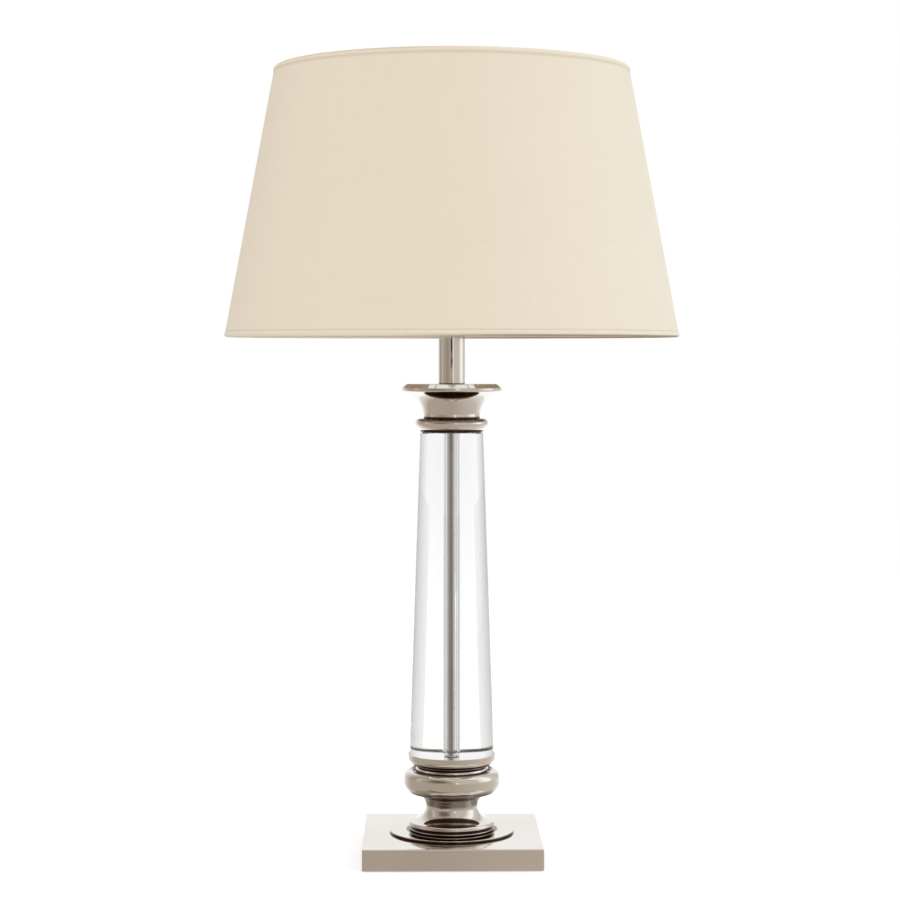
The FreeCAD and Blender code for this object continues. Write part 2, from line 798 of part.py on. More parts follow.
def shade_cloth():
    """The whole cover: lined cloth, folded round a wire at each end."""
    low = shade_bottom_radius - hem_proud
    high = shade_top_radius - hem_proud
    shell = turned([
        (low, lower_wire_level), (high, upper_wire_level),
        (high - shade_wall, upper_wire_level), (low - shade_wall, lower_wire_level)])
    roll_low = wire_loop(lower_wire_radius, lower_wire_level, roll_radius)
    roll_high = wire_loop(upper_wire_radius, upper_wire_level, roll_radius)
    channel_low = wire_loop(lower_wire_radius, lower_wire_level, wire_radius + wire_gap)
    channel_high = wire_loop(upper_wire_radius, upper_wire_level, wire_radius + wire_gap)
    slots = around(arm_run(arm_radius + arm_slot_gap), arm_count, 90)
    cloth = shell.fuse([roll_low, roll_high])
    return cloth.cut([channel_low, channel_high] + slots)


def panel_space(shift):
    """The space behind the two seams, moved back by shift."""
    reach = 2 * shade_bottom_radius
    side = reach * math.cos(math.radians(panel_turn))
    back = reach * math.sin(math.radians(panel_turn))
    corners = [(0, 0), (side, back), (side, 2 * reach), (-side, 2 * reach), (-side, back), (0, 0)]
    walls = Part.makePolygon([FreeCAD.Vector(x, y + shift, shade_bottom) for x, y in corners])
    return Part.Face(walls).extrude(Z * shade_height)


def shade_front_panel():
    return shade_cloth().cut(panel_space(0))


def shade_back_panel():
    return shade_cloth().common(panel_space(panel_gap))


# ---- bulb ----
def bulb_cap():
    start = bulb_tip + bulb_thread_start
    end = bulb_tip + bulb_cap_height
    crest = bulb_cap_radius
    root = crest - bulb_thread_depth
    steps = [(0, bulb_tip), (bulb_tip_radius, bulb_tip + bulb_tip_height),
             (bulb_collar_radius, bulb_tip + bulb_collar_height),
             (root, start - bulb_thread_lead), (crest, start)]
    steps += ridged(start, end - bulb_skirt_height, crest, root, bulb_thread_pitch)
    steps += [(crest, end), (0, end)]
    return turned(steps)


def bulb_glass():
    base = bulb_tip + bulb_cap_height
    top = bulb_tip + bulb_length
    centre_level = top - bulb_globe_radius
    neck = bulb_neck_radius
    wall = bulb_glass_wall
    globe = bulb_globe_radius
    meet = math.radians(bulb_meet_angle)
    side = (globe * math.cos(meet), centre_level + globe * math.sin(meet))
    inner = globe - wall
    inside = (inner * math.cos(meet), centre_level + inner * math.sin(meet))
    flank = (side[0] - neck) * bulb_flank_reach
    middle = base + (side[1] - base) * bulb_flank_turn
    return turned([
        (neck - wall, base), (neck, base),
        ((neck + flank, middle), side),
        ((globe, centre_level), (0, top)), (0, top - wall),
        ((inner, centre_level), inside),
        ((neck + flank - wall, middle), (neck - wall, base))])


parts = {
    "plinth": plinth,
    "base_weight": base_weight,
    "bottom_cover": bottom_cover,
    "cover_screws": cover_screws,
    "felt_pad": felt_pad,
    "cable_grommet": cable_grommet,
    "threaded_rod": threaded_rod,
    "base_washer": base_washer,
    "base_nut": base_nut,
    "base_disc": base_disc,
    "step_disc": step_disc,
    "pedestal": pedestal,
    "base_bead": base_bead,
    "glass_cup": glass_cup,
    "lower_gasket": lower_gasket,
    "crystal_column": crystal_column,
    "centre_tube": centre_tube,
    "upper_gasket": upper_gasket,
    "capital_bead": capital_bead,
    "capital": capital,
    "neck_tube": neck_tube,
    "neck_bush": neck_bush,
    "holder_cap": holder_cap,
    "holder_nut": holder_nut,
    "switch_block": switch_block,
    "switch_bar": switch_bar,
    "holder_insulator": holder_insulator,
    "holder_shell": holder_shell,
    "screw_shell": screw_shell,
    "centre_contact": centre_contact,
    "shade_hub": shade_hub,
    "shade_arms": shade_arms,
    "shade_lower_wire": shade_lower_wire,
    "shade_ring": shade_ring,
    "shade_front_panel": shade_front_panel,
    "shade_back_panel": shade_back_panel,
    "shade_top_wire": shade_top_wire,
    "bulb_cap": bulb_cap,
    "bulb_glass": bulb_glass,
}

os.makedirs("parts", exist_ok=True)
for name, make in parts.items():
    shape = make()
    if not shape.isValid() or not shape.Solids:
        raise ValueError(name + " isn't a valid solid")
    shape.exportStep("parts/" + name + ".step")
    box = shape.BoundBox
    print(f"{name}: {len(shape.Solids)} solid(s), {shape.Volume:.0f} mm3,"
          f" z {box.ZMin:.2f} to {box.ZMax:.2f}, r {max(box.XMax, -box.XMin):.2f}")
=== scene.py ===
import math
import bmesh
import bpy
import numpy as np
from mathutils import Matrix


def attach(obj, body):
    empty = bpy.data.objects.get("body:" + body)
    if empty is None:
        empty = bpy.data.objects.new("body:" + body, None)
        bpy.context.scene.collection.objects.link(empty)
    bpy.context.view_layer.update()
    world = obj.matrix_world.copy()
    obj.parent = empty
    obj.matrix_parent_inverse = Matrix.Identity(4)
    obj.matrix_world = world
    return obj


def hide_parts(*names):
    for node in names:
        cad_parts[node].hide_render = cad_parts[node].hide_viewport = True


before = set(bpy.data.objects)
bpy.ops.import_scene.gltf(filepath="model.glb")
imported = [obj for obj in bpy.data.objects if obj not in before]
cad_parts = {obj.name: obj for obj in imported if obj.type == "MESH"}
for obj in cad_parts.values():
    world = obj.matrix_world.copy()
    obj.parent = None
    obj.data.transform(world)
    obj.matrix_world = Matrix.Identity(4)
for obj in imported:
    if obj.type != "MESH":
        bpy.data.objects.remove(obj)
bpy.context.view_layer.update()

scene = bpy.context.scene
scene.view_settings.view_transform = "Standard"
millimetre = 0.001
print("frame loaded:", len(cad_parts), "nodes")


# ---- camera, at the photograph's place ----
# turned to the right and down in degrees; lens in millimetres
cameraValues = {"place": (-0.0339, -2.300, 0.5005), "right": 0.801, "down": 2.417, "lens": 92.56,
                "clipEnd": 40.0}
camera = bpy.data.objects.new("camera", bpy.data.cameras.new("camera"))
camera.data.lens = cameraValues["lens"]
camera.data.clip_end = cameraValues["clipEnd"]
camera.location = cameraValues["place"]
camera.rotation_euler = (math.radians(90 - cameraValues["down"]), 0, -math.radians(cameraValues["right"]))
scene.collection.objects.link(camera)
scene.camera = camera
print("camera set")


# ---- shader helpers ----
def addNode(tree, kind, inputs={}, **settings):  # inputs are plain values or another node's output
    made = tree.nodes.new("ShaderNode" + kind)
    for name, value in settings.items():
        setattr(made, name, value)
    for name, value in inputs.items():
        if isinstance(value, bpy.types.NodeSocket):
            tree.links.new(value, made.inputs[name])
        else:
            made.inputs[name].default_value = value
    return made


def blendColours(tree, factor, low, high, mode="MIX"):  # low where factor is 0, high where it is 1
    made = addNode(tree, "MixRGB", {"Fac": factor, "Color1": low, "Color2": high}, blend_type=mode)
    return made.outputs["Color"]


def mathOf(tree, operation, *values):  # the values are numbers or outputs, in the node's own order
    return addNode(tree, "Math", dict(enumerate(values)), operation=operation).outputs[0]


def seenByEye(tree):  # 1 for camera, glossy and transmission rays, 0 for the rays that light the object
    path = addNode(tree, "LightPath")
    direct = mathOf(tree, "MAXIMUM", path.outputs["Is Camera Ray"], path.outputs["Is Glossy Ray"])
    return mathOf(tree, "MAXIMUM", direct, path.outputs["Is Transmission Ray"])


# ---- studio: white surround, pale floor, lamps and reflector cards ----
studioValues = {
    "ambient": 0.74,                  # world level for the light that falls on the object
    "ambientColour": (1.0, 0.985, 0.965, 1),
    "floorSize": 9.0,
    "floorDrop": 0.0002,              # floor under the felt
    "floorColour": (0.84, 0.84, 0.83, 1),
    "floorGlow": 0.40,                # brings the unshaded floor up to the white surround
    "floorGlowColour": (0.92, 0.95, 1.0, 1),
    "cardSteps": 33,                  # points along a card's edge
}
# name: place, turned towards, width, height, watts, colour
lampValues = {
    "windowRight": ((1.75, -0.35, 0.75), (0, 0, 0.45), 1.15, 1.9, 13.0, (0.80, 0.92, 1.0)),
    "fillFront": ((-1.3, -2.3, 1.6), (0, 0, 0.55), 1.6, 1.6, 19.0, (1.0, 0.98, 0.95)),
    "overhead": ((0.2, 0.3, 2.6), (0, 0, 0.4), 1.8, 1.8, 12.0, (1.0, 0.99, 0.97)),
}
# cards round the lamp, seen in the metal or through the glass only: first and last turn from the camera's side
# in degrees, right positive; distance and level of the near or lower edge, then of the other one; colour at the
# first and at the last turn; what sees it; how much of the width fades out at each end
cardValues = {
    "leftRear": (-158, -118, 3.1, 0, 3.1, 5.5, (0.98, 0.98, 0.97), (0.46, 0.40, 0.33), "metal", 0),
    "leftSide": (-118, -75, 3.1, 0, 3.1, 5.5, (0.44, 0.37, 0.31), (0.47, 0.42, 0.36), "metal", 0),
    "leftFront": (-75, -36, 3.1, 0, 3.1, 5.5, (0.47, 0.42, 0.36), (0.36, 0.30, 0.25), "metal", 0),
    "front": (-36, 28, 3.1, 0, 3.1, 5.5, (0.36, 0.30, 0.25), (0.66, 0.61, 0.56), "metal", 0),
    "rightFront": (28, 62, 3.1, 0, 3.1, 5.5, (0.66, 0.61, 0.56), (0.64, 0.60, 0.55), "metal", 0),
    "windowRise": (62, 88, 3.1, 0, 3.1, 3.4, (0.64, 0.60, 0.55), (1.15, 1.15, 1.15), "metal", 0),
    "window": (88, 107, 3.1, 0, 3.1, 3.4, (1.15, 1.15, 1.15), (1.2, 1.2, 1.2), "metal", 0),
    "rightRear": (107, 144, 3.1, 0, 3.1, 5.5, (0.80, 0.77, 0.73), (0.62, 0.58, 0.53), "metal", 0),
    "rightBack": (144, 158, 3.1, 0, 3.1, 5.5, (0.62, 0.58, 0.53), (0.98, 0.98, 0.97), "metal", 0),
    "stripLeft": (-96, -80, 3.0, 0.2, 3.0, 2.6, (0.64, 0.62, 0.59), (0.64, 0.62, 0.59), "metal", 0.4),
    "stripFront": (7.5, 20, 2.9, 0.1, 2.9, 1.1, (0.95, 0.93, 0.89), (0.95, 0.93, 0.89), "metal", 0.3),
    "behindCamera": (-9, 7, 2.8, 0.47, 2.8, 0.60, (0.03, 0.02, 0.015), (0.03, 0.02, 0.015), "metal", 0.1),
    "darkRoom": (-72, 4, 2.6, 0.66, 2.6, 2.4, (0.19, 0.145, 0.115), (0.19, 0.145, 0.115), "metal", 0.4),
    "tableLeftRear": (-152, -112, 0.001, 0, 3.08, 0, (0.96, 0.95, 0.93), (0.49, 0.42, 0.34), "metal", 0),
    "tableLeft": (-112, 0, 0.001, 0, 3.08, 0, (0.49, 0.43, 0.36), (0.475, 0.415, 0.355), "metal", 0),
    "tableRight": (0, 112, 0.001, 0, 3.08, 0, (0.475, 0.415, 0.355), (0.68, 0.62, 0.56), "metal", 0),
    "tableRightRear": (112, 152, 0.001, 0, 3.08, 0, (0.68, 0.62, 0.56), (0.96, 0.95, 0.93), "metal", 0),
    "tubeFarLeft": (-90, -50, 0.02, 0, 3.1, 1.6, (0.72, 0.72, 0.71), (0.36, 0.35, 0.34), "glass", 0),
    "tubeLeft": (-50, 0, 0.02, 0, 3.1, 1.6, (0.36, 0.35, 0.34), (0.20, 0.19, 0.18), "glass", 0),
    "tubeMiddle": (0, 18, 0.02, 0, 3.1, 1.6, (0.20, 0.19, 0.18), (0.36, 0.35, 0.34), "glass", 0),
    "tubeRight": (18, 64, 0.02, 0, 3.1, 1.6, (0.50, 0.49, 0.48), (0.88, 0.88, 0.88), "glass", 0),
    "edgeLeft": (-140, -90, 3.2, 0, 3.2, 2.6, (0.96, 0.96, 0.96), (0.52, 0.52, 0.52), "glass", 0),
    "edgeRight": (86, 140, 3.2, 0, 3.2, 2.6, (0.48, 0.48, 0.48), (0.96, 0.96, 0.96), "glass", 0),
    "edgeTableLeft": (-150, -90, 0.3, 0, 3.2, 0, (0.96, 0.96, 0.96), (0.48, 0.48, 0.48), "glass", 0),
    "edgeTableRight": (86, 150, 0.3, 0, 3.2, 0, (0.45, 0.45, 0.45), (0.96, 0.96, 0.96), "glass", 0),
}

world = bpy.data.worlds.new("studio")
scene.world = world
world.use_nodes = True
tree = world.node_tree
tree.nodes.clear()
lighting = addNode(tree, "Background", {"Color": studioValues["ambientColour"],
                                        "Strength": studioValues["ambient"]})
surround = addNode(tree, "Background", {"Color": (1, 1, 1, 1), "Strength": 1.0})
worldMix = addNode(tree, "MixShader", {0: seenByEye(tree), 1: lighting.outputs[0], 2: surround.outputs[0]})
worldEnd = tree.nodes.new("ShaderNodeOutputWorld")
tree.links.new(worldMix.outputs[0], worldEnd.inputs["Surface"])


def plainMesh(name, points, faces):
    mesh = bpy.data.meshes.new(name)
    mesh.from_pydata(points.tolist(), [], faces.tolist())
    made = bpy.data.objects.new(name, mesh)
    scene.collection.objects.link(made)
    return made


def studioMaterial(name):  # with an output node only, and left out of the lamps' sampling
    material = bpy.data.materials.new(name)
    material.use_nodes = True
    material.node_tree.nodes.clear()
    material.cycles.emission_sampling = "NONE"
    return material, material.node_tree, material.node_tree.nodes.new("ShaderNodeOutputMaterial")


def floorMaterial():
    material, tree, end = studioMaterial("paleFloor")
    matte = addNode(tree, "BsdfDiffuse", {"Color": studioValues["floorColour"]})
    level = mathOf(tree, "MULTIPLY", seenByEye(tree), studioValues["floorGlow"])
    glow = addNode(tree, "Emission", {"Color": studioValues["floorGlowColour"], "Strength": level})
    both = addNode(tree, "AddShader", {0: matte.outputs[0], 1: glow.outputs[0]})
    tree.links.new(both.outputs[0], end.inputs["Surface"])
    return material


half, drop = studioValues["floorSize"] / 2, -studioValues["floorDrop"]
floorCorners = np.array([[-half, -half, drop], [half, -half, drop], [half, half, drop], [-half, half, drop]])
floor = plainMesh("floor", floorCorners, np.array([[0, 1, 2, 3]]))
floor.data.materials.append(floorMaterial())


def makeLamp(name, place, target, width, height, watts, colour):
    data = bpy.data.lights.new(name, "AREA")
    data.shape = "RECTANGLE"
    data.size, data.size_y = width, height
    data.energy = watts
    data.color = colour
    lamp = bpy.data.objects.new(name, data)
    lamp.location = place
    run = np.array(target) - np.array(place)
    lamp.rotation_euler = (math.acos(-run[2] / np.linalg.norm(run)), 0, math.atan2(-run[0], run[1]))
    lamp.visible_camera = False
    lamp.visible_glossy = False
    lamp.visible_transmission = False
    scene.collection.objects.link(lamp)


def fadedEnds(tree, along, fade, shown):
    # how near the nearer end is, along or 1 - along, rises smoothly to 1 over the fade; clear where it is 0
    edge = mathOf(tree, "MINIMUM", along, mathOf(tree, "SUBTRACT", 1.0, along))
    rise = addNode(tree, "MapRange", {"Value": edge, "From Max": fade}, interpolation_type="SMOOTHSTEP")
    clear = addNode(tree, "BsdfTransparent").outputs[0]
    return addNode(tree, "MixShader", {0: rise.outputs["Result"], 1: clear, 2: shown}).outputs[0]


def makeCard(name, first, last, near, nearLevel, far, farLevel, firstColour, lastColour, seenBy, fade):
    # a strip round the lamp: at turn t an edge of distance d is at x = d sin t, y = -d cos t
    steps = studioValues["cardSteps"]
    share = np.linspace(0, 1, steps)
    turn = np.radians(first + (last - first) * share - cameraValues["right"])
    ring = np.stack([np.sin(turn), -np.cos(turn)], 1)
    points = np.concatenate([np.c_[ring * near, np.full(steps, nearLevel)],
                             np.c_[ring * far, np.full(steps, farLevel)]])
    k = np.arange(steps - 1)
    card = plainMesh(name, points, np.stack([k, k + 1, k + steps + 1, k + steps], 1))
    layer = card.data.uv_layers.new(name="share")
    shares = np.stack([k, k + 1, k + 1, k], 1) / (steps - 1)
    layer.data.foreach_set("uv", np.stack([shares, shares], 2).ravel())
    material, tree, end = studioMaterial(name)
    place = addNode(tree, "UVMap", uv_map="share").outputs["UV"]
    along = addNode(tree, "SeparateXYZ", {0: place}).outputs["X"]
    colour = blendColours(tree, along, (*firstColour, 1), (*lastColour, 1))
    shown = addNode(tree, "Emission", {"Color": colour, "Strength": 1.0}).outputs[0]
    if fade:
        shown = fadedEnds(tree, along, fade, shown)
    tree.links.new(shown, end.inputs["Surface"])
    card.data.materials.append(material)
    card.visible_camera = False
    card.visible_diffuse = False
    card.visible_shadow = False
    card.visible_glossy = seenBy != "glass"
    card.visible_transmission = seenBy != "metal"


for name, values in lampValues.items():
    makeLamp(name, *values)
for name, values in cardValues.items():
    makeCard(name, *values)
print("studio set")


# ---- materials ----
# dark and light are the two shades, cloud how many patches of them per metre, rough the range of roughness,
# smear its patches per metre, relief the depth of the fine marks in metres, stretch their count per metre along
# X, Y and Z, wave and waveDepth the same for broad unevenness, shader the shader's own settings
finishValues = {
    "polishedNickel": {
        "dark": (0.745, 0.710, 0.655), "light": (0.815, 0.785, 0.740), "cloud": 9,
        "rough": (0.04, 0.085), "smear": 38, "relief": 3e-6, "stretch": (30, 30, 1500),
        # the darkest colour on the next line is painted shade: the dark reflections in the grooves, hollows and
        # on the base disc's edge
        "paintedShadeColour": (0.055, 0.024, 0.012), "wave": 42, "waveDepth": 2.2e-4, "shader": {"Metallic": 1.0}},
    "crystal": {
        "dark": (0.945, 0.953, 0.950), "light": (0.968, 0.974, 0.972), "cloud": 7,
        "rough": (0.0, 0.012), "smear": 30, "relief": 1.5e-5, "stretch": (10, 10, 4),
        "shader": {"Transmission Weight": 1.0, "IOR": 1.52}},
    "clearSilicone": {
        "dark": (0.80, 0.82, 0.81), "light": (0.90, 0.91, 0.90), "cloud": 60,
        "rough": (0.18, 0.32), "smear": 90, "relief": 1e-5, "stretch": (200, 200, 200),
        "shader": {"Transmission Weight": 0.75, "IOR": 1.42}},
    "castIron": {
        "dark": (0.035, 0.034, 0.033), "light": (0.075, 0.070, 0.066), "cloud": 40,
        "rough": (0.55, 0.8), "smear": 120, "relief": 3e-4, "stretch": (500, 500, 500),
        "shader": {"Metallic": 0.6}},
    "zincSteel": {
        "dark": (0.42, 0.42, 0.40), "light": (0.62, 0.61, 0.57), "cloud": 30,
        "rough": (0.22, 0.42), "smear": 80, "relief": 1.5e-5, "stretch": (900, 60, 60),
        "shader": {"Metallic": 1.0}},
    "felt": {
        "dark": (0.020, 0.019, 0.018), "light": (0.048, 0.045, 0.042), "cloud": 260,
        "rough": (0.85, 1.0), "smear": 300, "relief": 5e-4, "stretch": (1400, 1400, 1400),
        "shader": {"Sheen Weight": 0.5}},
    "blackRubber": {
        "dark": (0.016, 0.016, 0.016), "light": (0.030, 0.030, 0.030), "cloud": 90,
        "rough": (0.42, 0.6), "smear": 200, "relief": 4e-5, "stretch": (1500, 1500, 1500),
        "shader": {}},
    "blackPhenolic": {
        "dark": (0.010, 0.010, 0.010), "light": (0.022, 0.021, 0.020), "cloud": 70,
        "rough": (0.18, 0.32), "smear": 140, "relief": 8e-6, "stretch": (700, 700, 700),
        "shader": {"Coat Weight": 0.2}},
    "whitePorcelain": {
        "dark": (0.70, 0.69, 0.64), "light": (0.80, 0.79, 0.75), "cloud": 80,
        "rough": (0.45, 0.62), "smear": 150, "relief": 4e-5, "stretch": (900, 900, 900),
        "shader": {}},
    "contactBrass": {
        "dark": (0.66, 0.46, 0.19), "light": (0.80, 0.60, 0.29), "cloud": 50,
        "rough": (0.2, 0.38), "smear": 110, "relief": 1e-5, "stretch": (80, 80, 1200),
        "shader": {"Metallic": 1.0}},
    "whiteEnamel": {
        "dark": (0.74, 0.73, 0.69), "light": (0.80, 0.79, 0.76), "cloud": 40,
        "rough": (0.28, 0.42), "smear": 90, "relief": 6e-5, "stretch": (420, 420, 420),
        "shader": {"Coat Weight": 0.3}},
    "bulbMetal": {
        "dark": (0.55, 0.55, 0.54), "light": (0.74, 0.74, 0.73), "cloud": 60,
        "rough": (0.2, 0.36), "smear": 120, "relief": 1e-5, "stretch": (60, 60, 1500),
        "shader": {"Metallic": 1.0}},
    "opalGlass": {
        "dark": (0.80, 0.79, 0.75), "light": (0.86, 0.85, 0.82), "cloud": 25,
        "rough": (0.06, 0.13), "smear": 60, "relief": 1e-5, "stretch": (30, 30, 30),
        "shader": {"Coat Weight": 0.5}},
    # the liner's dark brown is painted shade of the dimly lit inside of the shade
    "shadedLiner": {
        "dark": (0.56, 0.45, 0.33), "light": (0.62, 0.51, 0.39), "cloud": 14,
        "rough": (0.38, 0.55), "smear": 40, "relief": 5e-5, "stretch": (260, 260, 12),
        "shader": {}},
}

# what all the finishes share: the range that a noise really covers, and how fine each noise is
noiseValues = {"low": 0.3, "high": 0.7, "cloudDetail": 5.0, "smearDetail": 6.0, "smearTwist": 0.6,
               "markDetail": 3.0, "waveDetail": 1.0}


def noise(tree, place, scale, detail, **more):
    made = addNode(tree, "TexNoise", {"Vector": place, "Scale": scale, "Detail": detail, **more})
    return made.outputs["Fac"]


def mapped(tree, value, low, high, toLow=0.0, toHigh=1.0):
    made = addNode(tree, "MapRange", {"Value": value, "From Min": low, "From Max": high,
                                      "To Min": toLow, "To Max": toHigh})
    return made.outputs["Result"]


def raised(tree, height, depth, under=None):  # a bump of this depth in metres, over another one's normal
    made = addNode(tree, "Bump", {"Height": height, "Strength": 1.0, "Distance": depth})
    if under is not None:
        tree.links.new(under, made.inputs["Normal"])
    return made.outputs["Normal"]


def startMaterial(name):
    material = bpy.data.materials.new(name)
    material.use_nodes = True
    return material, material.node_tree, material.node_tree.nodes["Principled BSDF"]


def finishMaterial(name, look):
    # colour: noise from dark to light. roughness: a second noise. relief: a third one, stretched, as a bump
    # over the broad unevenness that casting and buffing leave
    material, tree, shader = startMaterial(name)
    place = addNode(tree, "TexCoord").outputs["Object"]
    low, high = noiseValues["low"], noiseValues["high"]
    cloud = mapped(tree, noise(tree, place, look["cloud"], noiseValues["cloudDetail"]), low, high)
    colour = blendColours(tree, cloud, (*look["dark"], 1), (*look["light"], 1))
    # painted shade and dark reflections: the colour is drawn towards a dark red-brown where the mesh's own
    # attribute says
    if "paintedShadeColour" in look:  # by the mesh's own attribute
        depth = addNode(tree, "Attribute", attribute_name="paintedShade").outputs["Fac"]
        colour = blendColours(tree, depth, colour, (*look["paintedShadeColour"], 1))
    tree.links.new(colour, shader.inputs["Base Color"])
    smear = noise(tree, place, look["smear"], noiseValues["smearDetail"], Distortion=noiseValues["smearTwist"])
    tree.links.new(mapped(tree, smear, low, high, *look["rough"]), shader.inputs["Roughness"])
    spread = addNode(tree, "Mapping", {"Vector": place, "Scale": look["stretch"]}).outputs[0]
    under = None
    if "wave" in look:
        under = raised(tree, noise(tree, place, look["wave"], noiseValues["waveDetail"]), look["waveDepth"])
    relief = raised(tree, noise(tree, spread, 1.0, noiseValues["markDetail"]), look["relief"], under)
    tree.links.new(relief, shader.inputs["Normal"])
    for socket, value in look["shader"].items():
        shader.inputs[socket].default_value = value
    return material


materials = {name: finishMaterial(name, look) for name, look in finishValues.items()}

# warp and weft are threads per metre, slub the thick places per metre across and along a thread, wander and
# loose how the threads stray, the shares what each pattern adds to the tone, depth the relief in metres
clothValues = {
    # the third colour is painted shade, drawn beside and on the hem rolls
    "light": (0.835, 0.745, 0.610), "dark": (0.780, 0.690, 0.555), "hemShadeColour": (0.27, 0.185, 0.11),
    "warp": 1900, "weft": 1700, "periods": 3.183,     # a wave texture of scale 1 has 20 / tau periods per metre
    "slubAcross": 420, "slubAlong": 22, "slubDetail": 4.0, "slubRough": 0.65, "slubRange": (0.72, 1.28),
    "wander": 260.0, "wanderDetail": 2.0, "loose": 0.0012, "tone": 9.0, "toneDetail": 3.0,
    "weaveShare": 0.35, "slubShare": 0.45, "toneShare": 0.2, "slubHeight": 0.6, "depth": 9e-5,
    "roughness": 0.82, "sheen": 0.12, "sheenRoughness": 0.5,
}


def clothMaterial(name):
    # on a UV map in metres: two crossed waves for the threads, long stretched noise for the slubs, broad noise
    # for the tone, and the mesh's own attribute for the painted shade along the hems
    look = clothValues
    material, tree, shader = startMaterial(name)
    place = addNode(tree, "UVMap", uv_map="metres").outputs["UV"]
    wander = addNode(tree, "TexNoise", {"Vector": place, "Scale": look["wander"],
                                        "Detail": look["wanderDetail"]})
    loose = blendColours(tree, look["loose"], place, wander.outputs["Color"], "ADD")
    threads = []
    for count, direction in ((look["warp"], "X"), (look["weft"], "Y")):
        wave = addNode(tree, "TexWave", {"Vector": loose, "Scale": count / look["periods"]},
                       wave_type="BANDS", bands_direction=direction)
        threads.append(wave.outputs["Fac"])
    weave = mathOf(tree, "MULTIPLY", *threads)
    slubs = []
    for stretch in ((look["slubAcross"], look["slubAlong"], 1), (look["slubAlong"], look["slubAcross"], 1)):
        way = addNode(tree, "Mapping", {"Vector": place, "Scale": stretch}).outputs[0]
        slubs.append(noise(tree, way, 1.0, look["slubDetail"], Roughness=look["slubRough"]))
    slub = mapped(tree, mathOf(tree, "ADD", *slubs), *look["slubRange"])
    tone = noise(tree, place, look["tone"], look["toneDetail"])
    threadTone = mathOf(tree, "MULTIPLY", weave, look["weaveShare"])
    slubTone = mathOf(tree, "MULTIPLY_ADD", slub, look["slubShare"], threadTone)
    wholeTone = mathOf(tree, "MULTIPLY_ADD", tone, look["toneShare"], slubTone)
    clean = blendColours(tree, wholeTone, (*look["dark"], 1), (*look["light"], 1))
    # painted shade along the hems, by the mesh's own attribute
    hemShadeAmount = addNode(tree, "Attribute", attribute_name="paintedShade").outputs["Fac"]
    tree.links.new(blendColours(tree, hemShadeAmount, clean, (*look["hemShadeColour"], 1)), shader.inputs["Base Color"])
    height = mathOf(tree, "MULTIPLY_ADD", slub, look["slubHeight"], weave)
    tree.links.new(raised(tree, height, look["depth"]), shader.inputs["Normal"])
    shader.inputs["Roughness"].default_value = look["roughness"]
    shader.inputs["Sheen Weight"].default_value = look["sheen"]
    shader.inputs["Sheen Roughness"].default_value = look["sheenRoughness"]
    return material


materials["shadeCloth"] = clothMaterial("shadeCloth")
print("materials made:", len(materials))


# ---- surfaces ----
meshValues = {
    "arcPoints": 18,
    "cornerTurn": 20,       # least turn of a corner in degrees
    "cornerPoints": 6,
    "cornerShare": 0.3,     # how much of a run a corner may take
    "flatReach": 1.6,       # where the points lie that keep the flats flat, as a share of the corner's reach
    "onAxis": 1e-6,         # millimetres that still count as on the axis
    "merge": 1e-7,          # merging distance in metres
    "sharpTurn": 30,        # least turn of a sharp edge in degrees
    "around": 192,          # points round a turned piece
    "soft": 0.25,           # reach of its corners in millimetres
}


def arcRun(start, through, end, count):
    # the circle through three points: its centre is where the perpendicular bisectors cross; equal turns from
    # start to end
    (ax, ay), (bx, by), (cx, cy) = start, through, end
    cross = 2 * (ax * (by - cy) + bx * (cy - ay) + cx * (ay - by))
    squares = (ax * ax + ay * ay, bx * bx + by * by, cx * cx + cy * cy)
    midX = (squares[0] * (by - cy) + squares[1] * (cy - ay) + squares[2] * (ay - by)) / cross
    midY = (squares[0] * (cx - bx) + squares[1] * (ax - cx) + squares[2] * (bx - ax)) / cross
    first = math.atan2(ay - midY, ax - midX)
    past = (math.atan2(by - midY, bx - midX) - first) % math.tau
    turn = (math.atan2(cy - midY, cx - midX) - first) % math.tau
    turn = turn - math.tau if past > turn else turn
    angle = first + turn * np.linspace(0, 1, count + 1)[1:]
    reach = math.hypot(ax - midX, ay - midY)
    return np.stack([midX + reach * np.cos(angle), midY + reach * np.sin(angle)], 1)


def closedProfile(steps, soft):
    # steps in millimetres: a point ends a straight run, a pair (through, end) an arc. Each corner becomes a
    # short curve of reach soft, (1 - t)^2 a + 2 t (1 - t) b + t^2 c, with a point on each run beside it
    runs = [np.array([steps[0]])]
    here = steps[0]
    for step in steps[1:]:
        isArc = isinstance(step[0], tuple)
        runs.append(arcRun(here, step[0], step[1], meshValues["arcPoints"]) if isArc else np.array([step]))
        here = step[1] if isArc else step
    points = np.concatenate(runs).astype(float)
    if np.allclose(points[0], points[-1]):
        points = points[:-1]
    before, after = np.roll(points, 1, 0) - points, np.roll(points, -1, 0) - points
    lengthBefore, lengthAfter = np.linalg.norm(before, axis=1), np.linalg.norm(after, axis=1)
    cosine = -(before * after).sum(1) / (lengthBefore * lengthAfter)
    leastTurn = math.radians(meshValues["cornerTurn"])
    isCorner = (cosine < math.cos(leastTurn)) & (points[:, 0] > meshValues["onAxis"])
    reach = np.minimum(soft, meshValues["cornerShare"] * np.minimum(lengthBefore, lengthAfter))[:, None]
    into, out = before / lengthBefore[:, None], after / lengthAfter[:, None]
    t = np.linspace(0, 1, meshValues["cornerPoints"])[None, :, None]
    first, last = (points + into * reach)[:, None], (points + out * reach)[:, None]
    curve = (1 - t) ** 2 * first + 2 * t * (1 - t) * points[:, None] + t ** 2 * last
    beside = reach * meshValues["flatReach"]
    curve = np.concatenate([(points + into * beside)[:, None], curve, (points + out * beside)[:, None]], 1)
    curve[~isCorner] = points[~isCorner][:, None]
    keep = isCorner[:, None] | (np.arange(curve.shape[1]) == 0)[None, :]
    return curve[keep] * millimetre


def smoothRise(value):  # 3v^2 - 2v^3 between 0 and 1
    v = np.clip(value, 0, 1)
    return v * v * (3 - 2 * v)


